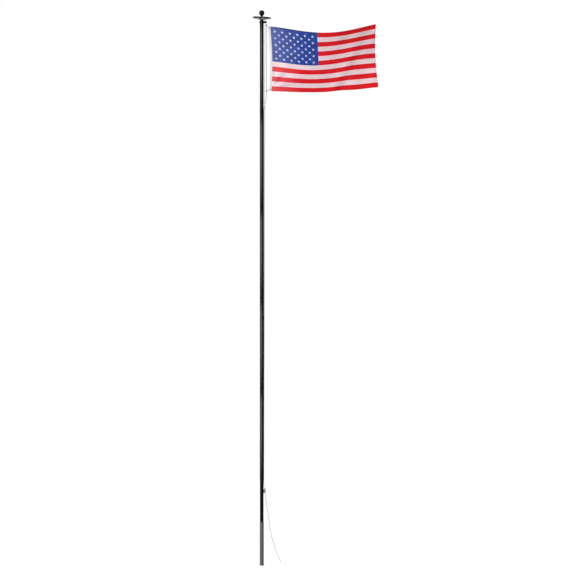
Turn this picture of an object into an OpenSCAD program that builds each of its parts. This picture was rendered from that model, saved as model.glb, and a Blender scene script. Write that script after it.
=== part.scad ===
// Sectional garden flagpole: ground sleeve, slip-jointed aluminium tubes, truck with one pulley,
// disc light under a ball finial, rope halyard on a cleat, and a striped flag on two snap hooks.
// Millimetres. The origin is the centre of the sleeve's flat underside, +Z is up, +X is the flag's side.

/* [Pole] */
// Height of the tubes above the sleeve's underside
pole_height = 7620; // [6000:10:9000]
// Height of the joint between the base section and the first pole section
base_joint_height = 1186; // [900:2:1500]
// Outside diameter of the pole sections
section_d = 54; // [48:0.5:64]
// Wall of every tube
section_wall = 1.4; // [1:0.1:2.5]
// Length of the reduced spigot at the top of each section
spigot_length = 180; // [100:5:250]
// Radial gap between a spigot and the section over it
slip_gap = 0.3; // [0.1:0.05:0.6]
// Chamfer at the top shoulder of each section
shoulder_chamfer = 1; // [0.3:0.1:1.2]

/* [Ground sleeve] */
// Length of the sleeve
sleeve_length = 610; // [450:10:800]
// Wall of the sleeve
sleeve_wall = 2.8; // [2:0.1:4]
// Thickness of the sleeve's closed end
sleeve_floor = 4; // [3:0.5:10]
// Radial gap between the base section and the sleeve
sleeve_gap = 0.4; // [0.2:0.1:0.8]

/* [Truck] */
// Wall of the skirt that slips over the top section
skirt_wall = 2.4; // [1.8:0.1:4]
// Length of the skirt below the tube's end
skirt_drop = 36; // [25:1:60]
// Thickness of the cap over the tube's end, up to where the crown starts
cap_thickness = 5; // [4:0.5:10]
// Height of the conical crown
crown_height = 11; // [8:1:20]
// Height of the hub above the crown
hub_height = 4; // [4:0.5:12]
// Diameter of the hub
hub_d = 36; // [32:1:44]
// Thickness of each cheek of the pulley arm
cheek_thickness = 4; // [3:0.5:6]
// Radius of the rounded end of the pulley arm
arm_end_r = 16; // [14:0.5:20]
// Depth of the arm where it leaves the skirt
arm_root_depth = 22; // [20:1:34]

/* [Pulley] */
// Distance of the pulley's axis from the pole's axis
sheave_reach = 55; // [54:1:70]
// Drop of the pulley's axis below the tube's end
sheave_drop = 12; // [8:1:16]
// Radius from the pulley's axis to the middle of the rope
sheave_pitch_r = 10; // [9:0.5:11]
// Radius of the pulley's flanges
sheave_flange_r = 12.5; // [11.5:0.5:14]
// Width of the pulley
sheave_width = 10; // [9:0.5:12]
// Gap between the pulley and each cheek
sheave_side_gap = 1; // [0.5:0.1:1.5]
// Diameter of the pulley's pin
sheave_pin_d = 6; // [4:0.5:8]
// Radial running clearance of the pulley on its pin
sheave_clearance = 0.06; // [0.03:0.01:0.1]

/* [Light and finial] */
// Diameter of the disc light
light_d = 256; // [200:2:300]
// Height of the light's rim
light_rim_height = 20; // [16:1:30]
// Height of the rim's lower edge above the light's seat
light_dish_depth = 17; // [10:1:26]
// Rise of the light's top from its rim to its middle
light_crown_rise = 7; // [2:0.5:8]
// Tilt of the light on its loose seat, down towards the flag, in degrees
light_tilt = 3; // [0:0.5:3]
// Number of solar panels on the light
panel_count = 6; // [4:1:10]
// Number of pale windows round the light's underside
window_count = 7; // [5:1:9]
// Diameter of the ball finial
ball_d = 76; // [60:1:100]
// Diameter of the spindle through the light
spindle_d = 10; // [8:0.5:12]
// Height of the collar under the ball
collar_height = 24; // [8:1:30]
// Diameter of the collar at its foot
collar_foot_d = 24; // [20:1:34]

/* [Rope and cleat] */
// Diameter of the rope
rope_d = 5; // [4:0.5:5.5]
// Height of the middle of the cleat
cleat_height = 1040; // [850:5:1080]
// Length of the cleat over its horns
cleat_length = 74; // [66:1:90]
// Height of the cleat off the tube
cleat_projection = 21; // [20:0.5:26]
// Thickness of the cleat's horns at the middle
horn_thickness = 8; // [6:0.5:9]
// Width of the cleat's stem and horns
cleat_width = 10; // [8:0.5:12]

/* [Flag] */
// Length of the flag's hoist edge
flag_hoist = 909; // [700:1:1100]
// Reach of the flag from its hoist edge to its fly edge
flag_reach = 1509; // [1200:1:1700]
// Thickness of the cloth's solid
cloth_thickness = 2; // [1.5:0.1:3]
// Width of the canvas header
header_width = 30; // [26:1:40]
// Depth of the ripple that runs along the flag
ripple_height = 95; // [0:5:120]
// Lean of the flag's middle between its top and bottom edges
flag_lean = 220; // [0:10:300]
// Length of a snap hook from its eye to the end of its loop
hook_length = 57; // [54:0.5:66]

/* [Hidden] */
$fn = 64;

// Overrun of every cut, and the gap between pieces that lie against each other
overrun = 1;
seat_gap = 0.2;
rope_gap = 0.3;

// Tubes
section_count = 5;
section_r = section_d / 2;
spigot_r = section_r - section_wall - slip_gap;
joint_shares = [0, 0.196, 0.394, 0.590, 0.795, 1];
function joint_height(index) = base_joint_height + (pole_height - base_joint_height) * joint_shares[index];
sleeve_bore_r = spigot_r + sleeve_gap;
sleeve_r = sleeve_bore_r + sleeve_wall;
sleeve_mouth_share = 0.4;

// Truck
skirt_bore_r = section_r + seat_gap;
skirt_r = skirt_bore_r + skirt_wall;
skirt_swell = 4;
skirt_steps = 10;
skirt_foot_z = pole_height - skirt_drop;
crown_foot_z = pole_height + cap_thickness;
hub_foot_z = crown_foot_z + crown_height;
light_seat_z = hub_foot_z + hub_height;
hub_r = hub_d / 2;
spindle_hole_depth_share = 0.7;
spindle_foot_z = light_seat_z - (cap_thickness + crown_height + hub_height) * spindle_hole_depth_share;

// Pulley
sheave_z = pole_height - sheave_drop;
arm_slot = sheave_width + 2 * sheave_side_gap;
arm_width = arm_slot + 2 * cheek_thickness;
slot_inner_x = sheave_reach - sheave_flange_r - sheave_side_gap;
pin_r = sheave_pin_d / 2;
pin_fit = 0.05;
pin_head_share = 1.6;
pin_head_r = pin_r * pin_head_share;
pin_head_height = cheek_thickness / 2;
rope_r = rope_d / 2;
groove_r = rope_r + rope_gap;
groove_flare_share = 1.25;

// Light, finial and collar
light_r = light_d / 2;
rim_nose = 12;
nose_steps = 10;
lens_thickness = 2.5;
plate_share = 0.4;
plate_height = 5;
plate_edge = 1.5;
first_rib_angle = -101;
rib_angle = 16;
window_slack_angle = 0.5;
spindle_r = spindle_d / 2;
spindle_fit = 0.1;
light_foot_r = hub_r;
light_rim_top = light_dish_depth + light_rim_height;
light_rim_middle = light_dish_depth + light_rim_height / 2;
light_top = light_rim_top + light_crown_rise;
light_slack = light_top * sin(light_tilt) + 2 * seat_gap;
plate_r = light_r * plate_share;
rim_inner_r = light_r - rim_nose;
panel_thickness = 1.5;
panel_inner_share = 0.32;
panel_outer_share = 0.97;
panel_gap_angle = 6;
tilt_lift = 2 * light_foot_r * sin(light_tilt);
collar_z = light_seat_z + light_top * cos(light_tilt) + tilt_lift;
collar_foot_r = collar_foot_d / 2;
ball_r = ball_d / 2;
ball_seat_share = 0.73;
ball_seat_z = collar_z + collar_height;
ball_seat_r = ball_r * ball_seat_share;
ball_z = ball_seat_z + sqrt(pow(ball_r, 2) - pow(ball_seat_r, 2));
ball_hole_share = 0.5;
spindle_top_z = ball_seat_z + ball_r * ball_hole_share;

// Cleat, in heights off the tube that it sits on
cleat_pad = 4;
cleat_pad_length_share = 0.65;
cleat_pad_width_share = 1.8;
cleat_pad_width = cleat_width * cleat_pad_width_share;
cleat_stem_length_share = 0.32;
horn_foot = cleat_projection - horn_thickness;
horn_tip_share = 0.5;
horn_tip_width_share = 0.6;
screw_r = 2;
screw_hole_fit = 0.1;
screw_head_r = 3.6;
screw_head_height = 1.6;
screw_place_share = 0.25;
screw_reach = section_wall + cleat_pad;
pad_half = cleat_length * cleat_pad_length_share / 2;
cleat_tube_r = cleat_height + pad_half > base_joint_height ? section_r : spigot_r;
pad_seat_r = cleat_tube_r + seat_gap;

// Rope
rope_sides = 10;
tail_sides = 8;
outer_leg_x = sheave_reach + sheave_pitch_r;
inner_leg_x = sheave_reach - sheave_pitch_r;
pair_y = rope_r + rope_gap;
hug_x = sqrt(pow(section_r + rope_r + rope_gap, 2) - pow(pair_y, 2));
belay_x = cleat_tube_r + cleat_pad + (horn_foot - cleat_pad) / 2;
stem_half = cleat_length * cleat_stem_length_share / 2;
belay_turn_r = cleat_width / 2 + rope_r + rope_gap;
belay_half = stem_half - cleat_width / 2;
belay_top = cleat_height + belay_half + belay_turn_r + rope_r + rope_gap;
lead_in_share = 0.7;
lead_z = cleat_height + cleat_length * lead_in_share;
slant_drop = 190;

// Free end of the rope, from the belay over the cleat's face and out to its plain end
tail_route = [
    [34, -13, 1038], [35, -13.5, 1048], [40, -12.5, 1060], [46.5, -9, 1070],
    [50, -4, 1073], [51, 0, 1066], [51, 1, 1054], [50.5, 1, 1040], [50, 1, 1024], [49, 0, 1008],
    [50, -1, 990], [54, -2, 950], [59, -3, 900], [67, -3, 850], [76, -2, 795], [84, 0, 740],
    [93, 2, 690], [101, 4, 637], [110, 5, 580], [119, 5, 520], [127, 4, 460], [138, 2, 410],
    [150, 0, 363], [163, -2, 320], [177, -4, 277], [195, -5, 227], [214, -5, 178],
    [225, -4, 149], [237, -3, 119], [252, -1, 82], [266, 1, 48]
];

// Flag: the cloth's middle surface over shares of the fly (u) and of the hoist (v, from the top)
flag_drop = 59;
hoist_gap_share = 0.42;
hoist_x = outer_leg_x + hook_length * hoist_gap_share;
flag_top_z = sheave_z - flag_drop;
hoist_bow = 16;
hoist_slant = 16;
fly_flare = 35;
top_rise = 32;
bottom_rise = 58;
top_sag = 117;
bottom_sag = 40;
sag_power = 1.15;
sag_skew = 1.1;
fly_bow = 16;
stripe_swing = 16;
swing_skew = 1.15;
fly_return = 30;
fill_start_share = 0.03;
fill_power = 0.65;
lean_middle_share = 0.5;
header_share = header_width / flag_reach;
grommet_inset = 30;
fly_steps = 30;
hoist_steps = 12;

function hoist_edge(v) = hoist_x + hoist_slant * v + hoist_bow * sin(180 * v);
function fly_edge(v) = hoist_x + flag_reach + fly_flare * v * v - fly_bow * sin(180 * v);
function sag(u) = pow(sin(180 * u), sag_power);
function top_edge(u) = flag_top_z + top_rise * u - top_sag * sag(pow(u, sag_skew));
function bottom_edge(u) = flag_top_z - flag_hoist + bottom_rise * u - bottom_sag * sag(u);
function cloth_share(u) = max(0, (u - header_share) / (1 - header_share));
function filled(t) = (pow(t + fill_start_share, fill_power) - pow(fill_start_share, fill_power))
    / (pow(1 + fill_start_share, fill_power) - pow(fill_start_share, fill_power));
function ripple(t) = fly_return * t - ripple_height * sin(180 * filled(t));
function lean(t, v) = flag_lean * sin(180 * t) * (v - lean_middle_share);
function swing(u, v) = stripe_swing * sin(360 * pow(u, swing_skew)) * sin(180 * v);
function flag_point(u, v) = [
    hoist_edge(v) + (fly_edge(v) - hoist_edge(v)) * u,
    ripple(cloth_share(u)) + lean(cloth_share(u), v),
    top_edge(u) * (1 - v) + bottom_edge(u) * v - swing(u, v)
];

// Snap hooks and grommets
grommet_share = grommet_inset / flag_hoist;
grommet_place_share = 0.4;
upper_grommet_point = flag_point(header_share * grommet_place_share, grommet_share);
lower_grommet_point = flag_point(header_share * grommet_place_share, 1 - grommet_share);
grommet_bore_r = 5;
grommet_wall = 1;
grommet_flange_r = 9.5;
grommet_lip = 0.8;
hook_wire_r = 2;
hook_eye_wall = 2.8;
hook_eye_half = 13;
hook_eye_edge = 1;
hook_eye_bore_r = rope_r + rope_gap;
hook_eye_r = hook_eye_bore_r + hook_eye_wall;
hook_half_width = 5;
hook_barrel_r = 5;
hook_barrel_length = 23;
hook_neck_share = 0.65;
hook_neck_length = 1.5;
hook_foot_length = 4;
grommet_half = cloth_thickness / 2 + seat_gap + grommet_lip;
hook_bend_inner_r = hook_half_width - hook_wire_r;
hook_bite = grommet_bore_r - rope_gap - hook_half_width
    + sqrt(pow(hook_bend_inner_r, 2) - pow(grommet_half, 2));
hook_span = hook_length + hook_bite;
function eye_drop(point) = sqrt(pow(hook_span, 2) - pow(point[0] - outer_leg_x, 2));
upper_eye_z = upper_grommet_point[2] + eye_drop(upper_grommet_point);
lower_eye_z = lower_grommet_point[2] - eye_drop(lower_grommet_point);
slant_top_share = 1.35;
slant_top_z = lower_eye_z - hook_length * slant_top_share;

// The fall leg goes by the slanting hoist leg a rope's width to one side
pass_y = 2 * pair_y;
fall_top_z = sheave_z - arm_end_r;
fall_foot_z = lead_z + cleat_length;
pass_share = (fall_top_z - slant_top_z) / (fall_top_z - fall_foot_z);
pass_x = inner_leg_x + (hug_x - inner_leg_x) * pass_share;

// Colours
coat_colour = [0.10, 0.10, 0.11];
plastic_colour = [0.06, 0.06, 0.06];
sleeve_colour = [0.40, 0.38, 0.37];
rope_colour = [0.86, 0.86, 0.84];
steel_colour = [0.25, 0.25, 0.26];
brass_colour = [0.72, 0.58, 0.30];
lens_colour = [0.75, 0.76, 0.76];
panel_colour = [0.07, 0.08, 0.16];
header_colour = [0.93, 0.93, 0.95];
cloth_colour = [0.80, 0.12, 0.15];

// A rope swept along a route of points, as one closed polyhedron
function unit(a) = a / norm(a);
function route_tangent(route, i) =
    unit(route[min(i + 1, len(route) - 1)] - route[max(i - 1, 0)]);
function ring(centre, tangent, r, sides) =
    let (side = unit(cross(tangent, [0, 1, 0])), up = cross(side, tangent))
    [for (k = [0 : sides - 1]) centre + r * (cos(360 * k / sides) * side + sin(360 * k / sides) * up)];

module rope_along(route, r, sides) {
    last = len(route) - 1;
    points = [for (i = [0 : last]) each ring(route[i], route_tangent(route, i), r, sides)];
    walls = [
        for (i = [0 : last - 1]) for (k = [0 : sides - 1])
            let (a = i * sides + k, b = i * sides + (k + 1) % sides)
            [a, b, b + sides, a + sides]
    ];
    start_face = [for (k = [sides - 1 : -1 : 0]) k];
    end_face = [for (k = [0 : sides - 1]) last * sides + k];
    polyhedron(points, concat([start_face, end_face], walls), convexity = 8);
}

// A strip of the flag between two shares of the fly, as one closed wavy slab
module flag_strip(u_from, u_to, steps) {
    rows = hoist_steps + 1;
    side_count = (steps + 1) * rows;
    middle = [
        for (i = [0 : steps]) for (j = [0 : hoist_steps])
            flag_point(u_from + (u_to - u_from) * i / steps, j / hoist_steps)
    ];
    front = [for (p = middle) p - [0, cloth_thickness / 2, 0]];
    back = [for (p = middle) p + [0, cloth_thickness / 2, 0]];
    function at(i, j) = i * rows + j;
    function two(a, b, c, d) = [[a, b, c], [a, c, d]];
    front_faces = [
        for (i = [0 : steps - 1]) for (j = [0 : hoist_steps - 1])
            each two(at(i, j), at(i, j + 1), at(i + 1, j + 1), at(i + 1, j))
    ];
    back_faces = [for (f = front_faces) [f[2] + side_count, f[1] + side_count, f[0] + side_count]];
    hoist_faces = [
        for (j = [0 : hoist_steps - 1])
            each two(at(0, j), at(0, j) + side_count, at(0, j + 1) + side_count, at(0, j + 1))
    ];
    fly_faces = [
        for (j = [0 : hoist_steps - 1])
            each two(at(steps, j + 1), at(steps, j + 1) + side_count, at(steps, j) + side_count, at(steps, j))
    ];
    top_faces = [
        for (i = [0 : steps - 1])
            each two(at(i + 1, 0), at(i + 1, 0) + side_count, at(i, 0) + side_count, at(i, 0))
    ];
    bottom_faces = [
        for (i = [0 : steps - 1])
            each two(at(i, hoist_steps), at(i, hoist_steps) + side_count,
                     at(i + 1, hoist_steps) + side_count, at(i + 1, hoist_steps))
    ];
    polyhedron(concat(front, back),
               concat(front_faces, back_faces, hoist_faces, fly_faces, top_faces, bottom_faces),
               convexity = 10);
}

// A round bar along a local axis
module bar_x(r, from, to) {
    translate([from, 0, 0])
        rotate([0, 90, 0])
            cylinder(r = r, h = to - from);
}

module bar_y(r, from, to) {
    translate([0, from, 0])
        rotate([-90, 0, 0])
            cylinder(r = r, h = to - from);
}

// PVC tube with a closed flat end, set in the ground
module ground_sleeve() {
    mouth = sleeve_wall * sleeve_mouth_share;
    color(sleeve_colour)
        rotate_extrude()
            polygon([
                [0, 0], [sleeve_r, 0], [sleeve_r, sleeve_length], [sleeve_bore_r + mouth, sleeve_length],
                [sleeve_bore_r, sleeve_length - mouth], [sleeve_bore_r, sleeve_floor], [0, sleeve_floor]
            ]);
}

// Narrow tube that stands in the sleeve and carries the cleat
module base_section() {
    color(coat_colour)
        difference() {
            translate([0, 0, sleeve_floor])
                cylinder(r = spigot_r, h = base_joint_height + spigot_length - sleeve_floor);
            cylinder(r = spigot_r - section_wall, h = pole_height);
            cleat_screw_places()
                bar_x(screw_r + screw_hole_fit, 0, section_r);
        }
}

// One pole tube: open at the foot, drawn down to a spigot at the top
module pole_section(index) {
    foot = joint_height(index - 1);
    head = joint_height(index);
    bore = section_r - section_wall;
    chamfered = section_r - shoulder_chamfer;
    shoulder = index == section_count
        ? [[chamfered, head], [bore, head]]
        : [
            [chamfered, head], [spigot_r, head], [spigot_r, head + spigot_length],
            [spigot_r - section_wall, head + spigot_length], [spigot_r - section_wall, head - section_wall],
            [bore, head - section_wall]
        ];
    color(coat_colour)
        difference() {
            rotate_extrude()
                polygon(concat(
                    [[bore, foot], [section_r, foot], [section_r, head - shoulder_chamfer]], shoulder));
            cleat_screw_places()
                bar_x(screw_r + screw_hole_fit, 0, section_r + overrun);
        }
}

// Moulded cap over the top section, with the fork that holds the pulley
module truck_cap() {
    color(plastic_colour)
        difference() {
            union() {
                rotate_extrude()
                    polygon(concat(
                        [[0, skirt_foot_z]],
                        [
                            for (k = [0 : skirt_steps])
                                [
                                    skirt_r + skirt_swell * sin(180 * k / skirt_steps),
                                    skirt_foot_z + (crown_foot_z - skirt_foot_z) * k / skirt_steps
                                ]
                        ],
                        [[hub_r, hub_foot_z], [hub_r, light_seat_z], [0, light_seat_z]]));
                translate([0, arm_width / 2, 0])
                    rotate([90, 0, 0])
                        linear_extrude(height = arm_width)
                            arm_outline();
            }
            translate([0, 0, skirt_foot_z - overrun])
                cylinder(r = skirt_bore_r, h = skirt_drop + overrun);
            translate([slot_inner_x, -arm_slot / 2, pole_height - 2 * skirt_drop])
                cube([sheave_reach, arm_slot, 4 * skirt_drop]);
            translate([sheave_reach, 0, sheave_z])
                bar_y(pin_r + pin_fit, -arm_width, arm_width);
            translate([0, 0, spindle_foot_z])
                cylinder(r = spindle_r + spindle_fit, h = light_seat_z);
        }
}

// Side view of the pulley arm: a deep root that runs out to a round nose
module arm_outline() {
    translate([sheave_reach, sheave_z])
        circle(r = arm_end_r);
    polygon([
        [0, sheave_z + arm_end_r - arm_root_depth], [sheave_reach, sheave_z - arm_end_r],
        [sheave_reach, sheave_z + arm_end_r], [0, sheave_z + arm_end_r]
    ]);
}

// Grooved wheel that the rope runs over
module pulley_sheave() {
    color(steel_colour)
        translate([sheave_reach, 0, sheave_z])
            rotate([90, 0, 0])
                rotate_extrude()
                    difference() {
                        translate([pin_r + sheave_clearance, -sheave_width / 2])
                            square([sheave_flange_r - pin_r - sheave_clearance, sheave_width]);
                        translate([sheave_pitch_r, 0])
                            circle(r = groove_r);
                        polygon([
                            [sheave_pitch_r, -groove_r], [sheave_flange_r + overrun, -groove_r * groove_flare_share],
                            [sheave_flange_r + overrun, groove_r * groove_flare_share], [sheave_pitch_r, groove_r]
                        ]);
                    }
}

// Headed pin through both cheeks
module pulley_pin() {
    head_from = arm_width / 2 + seat_gap;
    color(steel_colour)
        translate([sheave_reach, 0, sheave_z]) {
            bar_y(pin_r, -head_from, head_from);
            bar_y(pin_head_r, -head_from - pin_head_height, -head_from);
            bar_y(pin_head_r, head_from, head_from + pin_head_height);
        }
}

// Place of the light: it leans over the flag's side of the hub
module on_light_seat() {
    translate([light_foot_r, 0, light_seat_z])
        rotate([0, light_tilt, 0])
            translate([-light_foot_r, 0, 0])
                children();
}

// Dished disc with a round-nosed rim, a foot plate, and ribs between the windows
module light_housing() {
    bore = spindle_r + light_slack;
    color(plastic_colour)
        on_light_seat() {
            rotate_extrude()
                polygon(concat(
                    [
                        [bore, 0], [plate_r - plate_edge, 0], [plate_r, plate_edge],
                        [plate_r, plate_height + lens_thickness + seat_gap],
                        [rim_inner_r, light_dish_depth + lens_thickness + seat_gap]
                    ],
                    [
                        for (k = [0 : nose_steps])
                            [
                                rim_inner_r + rim_nose * sin(180 * k / nose_steps),
                                light_rim_middle - light_rim_height / 2 * cos(180 * k / nose_steps)
                            ]
                    ],
                    [[light_foot_r, light_top], [bore, light_top]]));
            around_light(first_rib_angle - rib_angle / 2)
                rotate_extrude(angle = rib_angle)
                    polygon([
                        [plate_r - overrun, plate_height], [rim_inner_r + overrun, light_dish_depth],
                        [rim_inner_r + overrun, light_rim_middle],
                        [plate_r - overrun, plate_height + lens_thickness + overrun]
                    ]);
        }
}

// Copies all round the light, one to each window
module around_light(start_angle) {
    for (k = [0 : window_count - 1])
        rotate([0, 0, start_angle + k * 360 / window_count])
            children();
}

// Pale windows under the disc
module light_lens() {
    color(lens_colour)
        on_light_seat()
            around_light(first_rib_angle + (rib_angle + window_slack_angle) / 2)
                rotate_extrude(angle = 360 / window_count - rib_angle - window_slack_angle)
                    polygon([
                        [plate_r + seat_gap, plate_height], [rim_inner_r - seat_gap, light_dish_depth],
                        [rim_inner_r - seat_gap, light_dish_depth + lens_thickness],
                        [plate_r + seat_gap, plate_height + lens_thickness]
                    ]);
}

// Dark panels set round the light's top
module solar_panels() {
    inner = light_r * panel_inner_share;
    outer = rim_inner_r * panel_outer_share;
    slope = light_crown_rise / (rim_inner_r - light_foot_r);
    inner_z = light_top - slope * (inner - light_foot_r) + seat_gap;
    outer_z = light_top - slope * (outer - light_foot_r) + seat_gap;
    color(panel_colour)
        on_light_seat()
            for (k = [0 : panel_count - 1])
                rotate([0, 0, k * 360 / panel_count])
                    rotate_extrude(angle = 360 / panel_count - panel_gap_angle)
                        polygon([
                            [inner, inner_z], [outer, outer_z],
                            [outer, outer_z + panel_thickness], [inner, inner_z + panel_thickness]
                        ]);
}

// Tapered collar between the light and the ball
module finial_collar() {
    color(plastic_colour)
        rotate_extrude()
            polygon([
                [spindle_r + spindle_fit, collar_z], [collar_foot_r, collar_z],
                [ball_seat_r, ball_seat_z], [spindle_r + spindle_fit, ball_seat_z]
            ]);
}

// Threaded rod from the truck, through the light, into the ball
module finial_spindle() {
    color(steel_colour)
        translate([0, 0, spindle_foot_z])
            cylinder(r = spindle_r, h = spindle_top_z - spindle_foot_z);
}

// Ball with a flat seat
module finial_ball() {
    color(plastic_colour)
        difference() {
            translate([0, 0, ball_z])
                sphere(r = ball_r);
            translate([-ball_r, -ball_r, ball_seat_z - ball_d])
                cube([ball_d, ball_d, ball_d]);
            translate([0, 0, ball_seat_z - overrun])
                cylinder(r = spindle_r + spindle_fit, h = spindle_top_z - ball_seat_z + 2 * overrun);
        }
}

// Half turn of the rope over the pulley
module halyard_over_pulley() {
    color(rope_colour)
        translate([sheave_reach, 0, sheave_z])
            rotate([90, 0, 0])
                rotate_extrude(angle = 180)
                    translate([sheave_pitch_r, 0])
                        circle(r = rope_r);
}

// Rope from the pulley through both hook eyes, then in to the pole and down to the cleat
module halyard_hoist_leg() {
    color(rope_colour)
        rope_along([
            [outer_leg_x, 0, sheave_z], [outer_leg_x, 0, upper_eye_z], [outer_leg_x, 0, lower_eye_z],
            [outer_leg_x, 0, slant_top_z], [hug_x, -pair_y, slant_top_z - slant_drop],
            [hug_x, -pair_y, fall_foot_z],
            [belay_x, -pair_y, lead_z], [belay_x, -pair_y, belay_top]
        ], rope_r, rope_sides);
}

// Rope from the inner side of the pulley straight down to the cleat
module halyard_fall_leg() {
    color(rope_colour)
        rope_along([
            [inner_leg_x, 0, sheave_z], [inner_leg_x, 0, fall_top_z],
            [pass_x, pass_y, slant_top_z], [hug_x, pair_y, fall_foot_z],
            [belay_x, pair_y, lead_z], [belay_x, pair_y, belay_top]
        ], rope_r, rope_sides);
}

// Turn of the rope round the cleat's stem, under the horns
module halyard_belay() {
    color(rope_colour)
        translate([belay_x, 0, cleat_height])
            rotate([0, 90, 0]) {
                for (way = [-1, 1]) {
                    translate([way * belay_half, 0, 0])
                        rotate([0, 0, -way * 90])
                            rotate_extrude(angle = 180)
                                translate([belay_turn_r, 0])
                                    circle(r = rope_r);
                    translate([0, way * belay_turn_r, 0])
                        bar_x(rope_r, -belay_half, belay_half);
                }
            }
}

// Loose end of the rope
module halyard_tail() {
    color(rope_colour)
        rope_along(tail_route, rope_r, tail_sides);
}

// Places of the two screws, either side of the cleat's middle
module cleat_screw_places() {
    for (way = [-1, 1])
        translate([0, 0, cleat_height + way * cleat_length * screw_place_share])
            children();
}

// A flat shape drawn on the cleat's face, raised from the pole's axis to a height
module off_pole(height) {
    translate([0, 0, cleat_height])
        rotate([0, 90, 0])
            linear_extrude(height = height)
                children();
}

// A bar with round ends, up and down the pole
module round_ended(half, width) {
    square([2 * half, width], center = true);
    for (way = [-1, 1])
        translate([way * half, 0])
            circle(d = width);
}

// Two-horned cleat on a saddle-shaped pad
module cleat() {
    horn_half = cleat_length / 2;
    tip = horn_thickness * horn_tip_share;
    tip_width = cleat_width * horn_tip_width_share;
    tip_from = horn_half - tip_width / 2;
    color(plastic_colour)
        difference() {
            union() {
                off_pole(cleat_tube_r + cleat_pad)
                    round_ended(pad_half - cleat_pad_width / 2, cleat_pad_width);
                off_pole(cleat_tube_r + horn_foot + horn_thickness / 2)
                    round_ended(belay_half, cleat_width);
                intersection() {
                    translate([0, cleat_width / 2, cleat_height])
                        rotate([90, 0, 0])
                            linear_extrude(height = cleat_width)
                                translate([cleat_tube_r + horn_foot, 0])
                                    polygon([
                                        [0, -stem_half], [horn_thickness - tip, -horn_half],
                                        [horn_thickness, -horn_half], [horn_thickness, horn_half],
                                        [horn_thickness - tip, horn_half], [0, stem_half]
                                    ]);
                    off_pole(cleat_tube_r + cleat_projection) {
                        polygon([
                            [-tip_from, -tip_width / 2], [-stem_half, -cleat_width / 2],
                            [stem_half, -cleat_width / 2], [tip_from, -tip_width / 2],
                            [tip_from, tip_width / 2], [stem_half, cleat_width / 2],
                            [-stem_half, cleat_width / 2], [-tip_from, tip_width / 2]
                        ]);
                        round_ended(tip_from, tip_width);
                    }
                }
            }
            cylinder(r = pad_seat_r, h = pole_height);
            cleat_screw_places()
                bar_x(screw_r + screw_hole_fit, 0, cleat_tube_r + horn_foot);
        }
}

// Round-headed screws through the pad into the tube
module cleat_screws() {
    head_from = cleat_tube_r + cleat_pad;
    color(steel_colour)
        cleat_screw_places() {
            bar_x(screw_r, head_from - screw_reach - screw_r, head_from);
            bar_x(screw_head_r, head_from, head_from + screw_head_height);
        }
}

// Swivel snap hook: a moulded eye upright on the rope, a barrel, and a long loop through the grommet
module snap_hook(eye_z, point) {
    fall = eye_z - point[2];
    neck_from = hook_barrel_length - hook_foot_length - hook_neck_length;
    color(steel_colour)
        translate([outer_leg_x, 0, eye_z])
            difference() {
                union() {
                    rotate_extrude()
                        polygon([
                            [0, -hook_eye_half], [hook_eye_r - hook_eye_edge, -hook_eye_half],
                            [hook_eye_r, hook_eye_edge - hook_eye_half],
                            [hook_eye_r, hook_eye_half - hook_eye_edge],
                            [hook_eye_r - hook_eye_edge, hook_eye_half], [0, hook_eye_half]
                        ]);
                    rotate([0, atan2(fall, point[0] - outer_leg_x), 0]) {
                        rotate([0, 90, 0])
                            rotate_extrude()
                                polygon([
                                    [0, 0], [hook_barrel_r, 0],
                                    [hook_barrel_r, neck_from], [hook_barrel_r * hook_neck_share, neck_from],
                                    [hook_barrel_r * hook_neck_share, neck_from + hook_neck_length],
                                    [hook_barrel_r, neck_from + hook_neck_length],
                                    [hook_barrel_r, hook_barrel_length + hook_wire_r],
                                    [0, hook_barrel_length + hook_wire_r]
                                ]);
                        for (way = [-1, 1])
                            translate([0, way * hook_half_width, 0])
                                bar_x(hook_wire_r, hook_barrel_length + hook_half_width,
                                    hook_length - hook_half_width);
                        translate([hook_barrel_length + hook_half_width, 0, 0])
                            hook_bend(90);
                        translate([hook_length - hook_half_width, 0, 0])
                            hook_bend(-90);
                    }
                }
                cylinder(r = hook_eye_bore_r, h = 4 * hook_eye_half, center = true);
            }
}

// Half-round end of a snap hook's loop
module hook_bend(turn) {
    rotate([0, 0, turn])
        rotate_extrude(angle = 180)
            translate([hook_half_width, 0])
                circle(r = hook_wire_r);
}

module upper_snap_hook() { snap_hook(upper_eye_z, upper_grommet_point); }

module lower_snap_hook() { snap_hook(lower_eye_z, lower_grommet_point); }

// Flanged eyelet through the header
module grommet(point) {
    half = cloth_thickness / 2 + seat_gap;
    color(brass_colour)
        translate(point)
            rotate([90, 0, 0])
                rotate_extrude() {
                    translate([grommet_bore_r, -half - grommet_lip])
                        square([grommet_wall, 2 * (half + grommet_lip)]);
                    for (low = [-half - grommet_lip, half])
                        translate([grommet_bore_r, low])
                            square([grommet_flange_r - grommet_bore_r, grommet_lip]);
                }
}

module upper_grommet() { grommet(upper_grommet_point); }

module lower_grommet() { grommet(lower_grommet_point); }

// White canvas strip along the hoist, with a hole for each grommet
module flag_header() {
    color(header_colour)
        difference() {
            flag_strip(0, header_share, 1);
            for (point = [upper_grommet_point, lower_grommet_point])
                translate(point)
                    bar_y(grommet_bore_r + grommet_wall + seat_gap, -header_width, header_width);
        }
}

// Flying cloth from the header to the fly edge
module flag_cloth() {
    color(cloth_colour)
        flag_strip(header_share, 1, fly_steps);
}

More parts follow.
